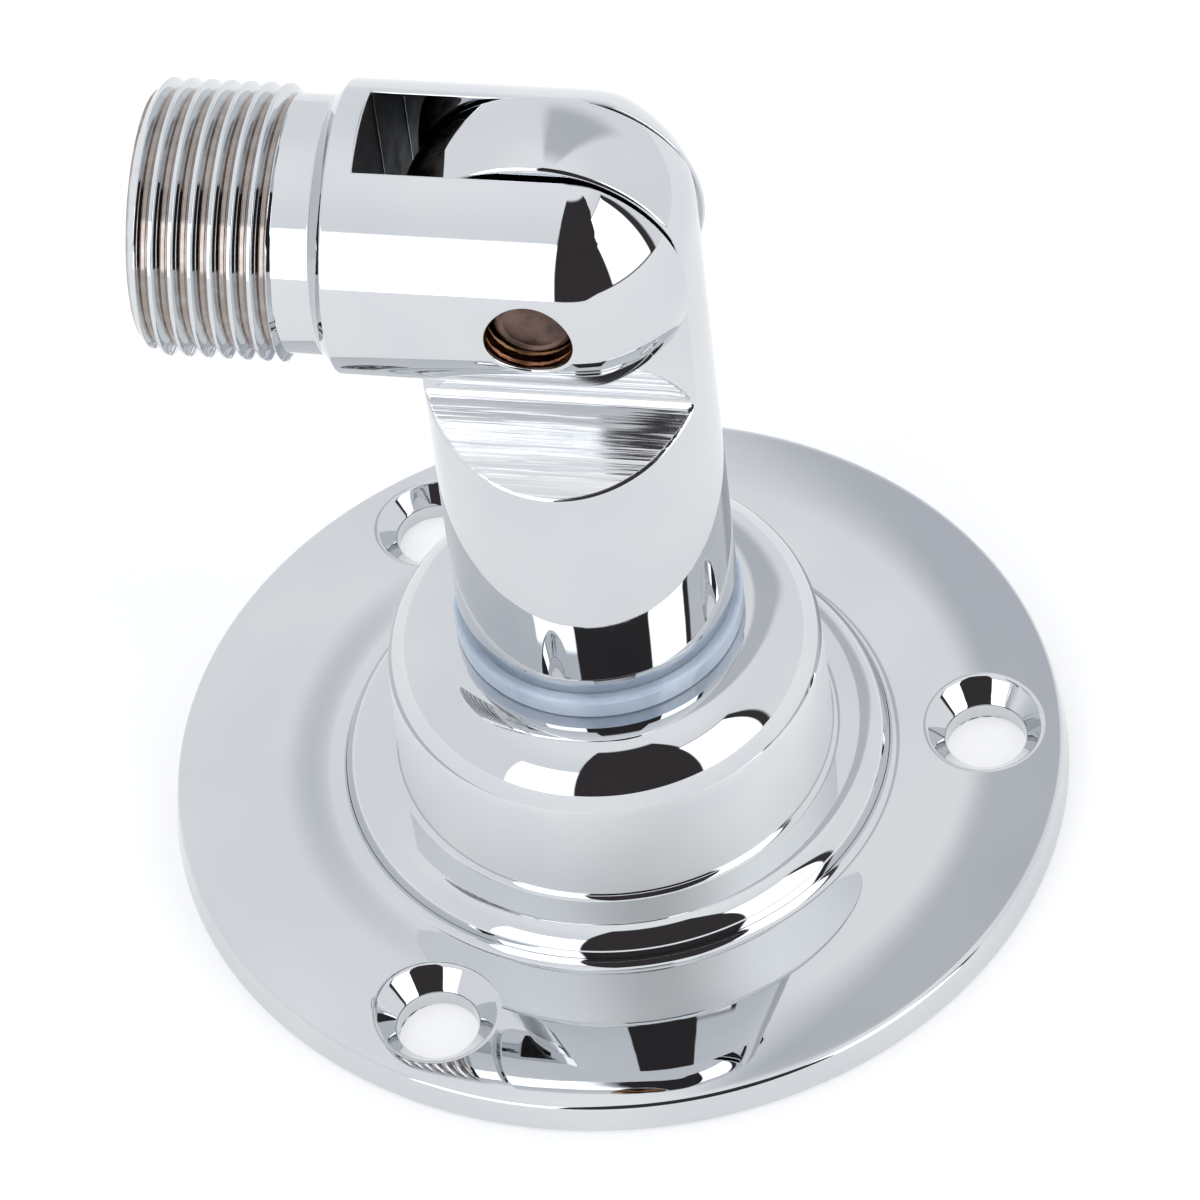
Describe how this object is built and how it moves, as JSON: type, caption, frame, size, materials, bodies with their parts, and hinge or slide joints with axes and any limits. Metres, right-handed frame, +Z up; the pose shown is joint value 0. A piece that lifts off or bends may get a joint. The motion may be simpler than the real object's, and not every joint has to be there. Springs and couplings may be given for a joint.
{
  "type": "swivelling folding deck base",
  "caption": "Chromed round deck base with a swivelling post and a folding fork that ends in a coarse male thread for a pole or antenna.",
  "frame": {"origin": "centre of the flange's flat underside, on the swivel axis", "axes": "+Z up along the post; -X along the arm at rest; Y along the pivot screw, -Y towards the ear with the open screw end"},
  "size_m": [0.088, 0.088, 0.0909],
  "materials": {
    "chrome": "polished plate over brass",
    "nylon": "translucent bluish nylon",
    "steel": "turned",
    "bronze": "dull brown"
  },
  "bodies": {
    "base": {"base_casting": "chrome", "swivel_washer": "nylon", "swivel_bush": "nylon", "lower_washer": "nylon"},
    "post": {"post": "chrome", "steel_washer": "steel", "disc_spring_upper": "steel", "disc_spring_lower": "steel", "lock_nut": "steel", "lock_nut_ring": "nylon", "pivot_bush": "bronze"},
    "fork": {"fork": "chrome", "pivot_screw": "bronze", "shim_near": "nylon", "shim_far": "nylon"}
  },
  "joints": [
    {"name": "swivel", "type": "hinge", "parent": "base", "child": "post", "pos_m": [0, 0, 0.0251], "axis": [0, 0, 1], "continuous": true},
    {"name": "fold", "type": "hinge", "parent": "post", "child": "fork", "pos_m": [0, 0, 0.0766], "axis": [0, 1, 0], "range_deg": [-9, 189]}
  ]
}
